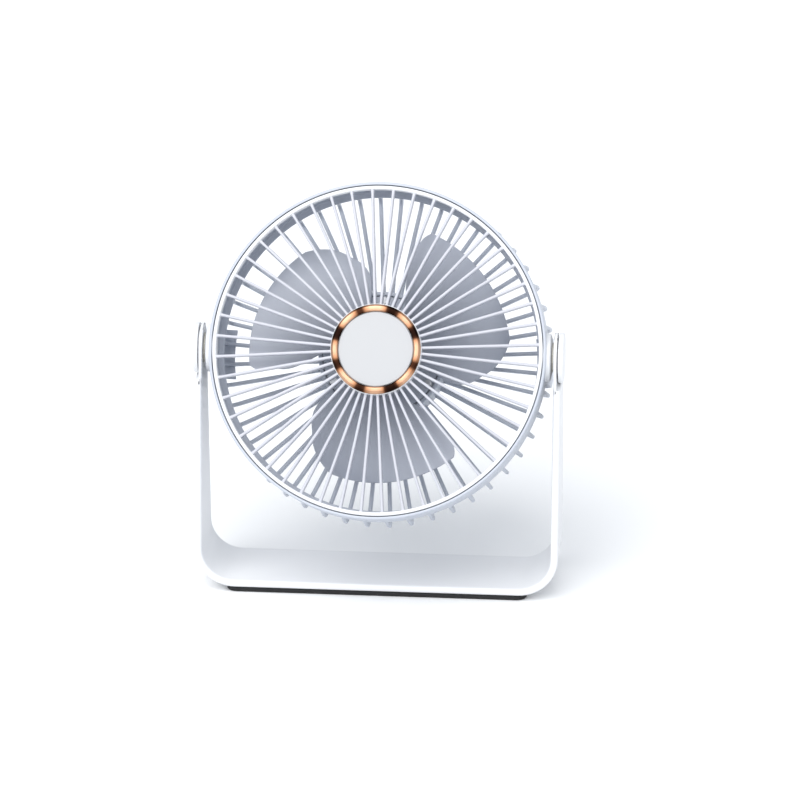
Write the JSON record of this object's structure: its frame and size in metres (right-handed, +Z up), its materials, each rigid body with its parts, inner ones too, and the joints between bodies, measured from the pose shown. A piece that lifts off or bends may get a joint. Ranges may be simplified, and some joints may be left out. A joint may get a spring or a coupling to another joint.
{
  "type": "desk fan",
  "caption": "Round ribbed desk fan head with a copper-ringed hub, held by two side pivots in a U-shaped flat-band stand so that it tilts up and down.",
  "frame": {"origin": "middle of the rubber pad's underside, on the table", "axes": "+Z up, the fan's face towards -Y, the pivot axis along X through (0, 0, 0.148); stored with the face tipped back 25 degrees"},
  "size_m": [0.2232, 0.1453, 0.2461],
  "materials": {
    "white_plastic": "white satin ABS, fine mould texture",
    "pale_plastic": "white satin plastic with a cool cast, slightly translucent",
    "badge_plastic": "plain light grey-white satin disc",
    "copper_trim": "polished rose-gold plating",
    "black_rubber": "matt black rubber",
    "steel": "zinc-plated or ground steel",
    "dark_steel": "phosphated steel and sintered magnet",
    "copper_wire": "enamelled copper wire",
    "circuit_board": "green solder mask",
    "battery_wrap": "blue shrink film",
    "nylon": "natural glass-filled nylon",
    "light_pipe": "clear diffusing plastic"
  },
  "bodies": {
    "stand": {"arm_cap_left": "white_plastic", "arm_cap_right": "white_plastic", "base_pad": "black_rubber", "friction_washer_left": "nylon", "friction_washer_right": "nylon", "u_stand": "white_plastic"},
    "head": {"battery_pack": "battery_wrap", "button_switch": "black_rubber", "charge_light": "light_pipe", "charging_socket": "steel", "control_board": "circuit_board", "cover_screw_1": "steel", "cover_screw_2": "steel", "cover_screw_3": "steel", "cover_screw_4": "steel", "front_bearing": "steel", "front_grille": "white_plastic", "hub_badge": "badge_plastic", "hub_trim_ring": "copper_trim", "motor_board": "circuit_board", "motor_mount": "pale_plastic", "mount_screw_1": "steel", "mount_screw_2": "steel", "mount_screw_3": "steel", "pivot_bolt_left": "steel", "pivot_bolt_right": "steel", "pivot_boss_left": "white_plastic", "pivot_boss_right": "white_plastic", "rear_bearing": "steel", "rear_cover": "white_plastic", "rear_shell": "pale_plastic", "spring_washer_left": "steel", "spring_washer_right": "steel", "stator_coil_1": "copper_wire", "stator_coil_2": "copper_wire", "stator_coil_3": "copper_wire", "stator_coil_4": "copper_wire", "stator_coil_5": "copper_wire", "stator_coil_6": "copper_wire", "stator_core": "dark_steel"},
    "fan": {"impeller": "pale_plastic", "magnet_ring": "dark_steel", "motor_shaft": "steel", "rotor_cup": "dark_steel", "shaft_nut": "steel"},
    "button": {"power_button": "white_plastic"}
  },
  "joints": [
    {"name": "head_tilt", "type": "hinge", "parent": "stand", "child": "head", "pos_m": [0, 0, 0.148], "axis": [-1, 0, 0], "range_deg": [-115, 65]},
    {"name": "fan_spin", "type": "hinge", "parent": "head", "child": "fan", "pos_m": [0, 0, 0.148], "axis": [0, -0.9063, 0.4226], "continuous": true},
    {"name": "power_button", "type": "slide", "parent": "head", "child": "button", "axis": [0, -0.9063, 0.4226], "range_m": [0, 0.0008], "stiffness_N_per_m": 400, "springref_m": -0.0004}
  ]
}
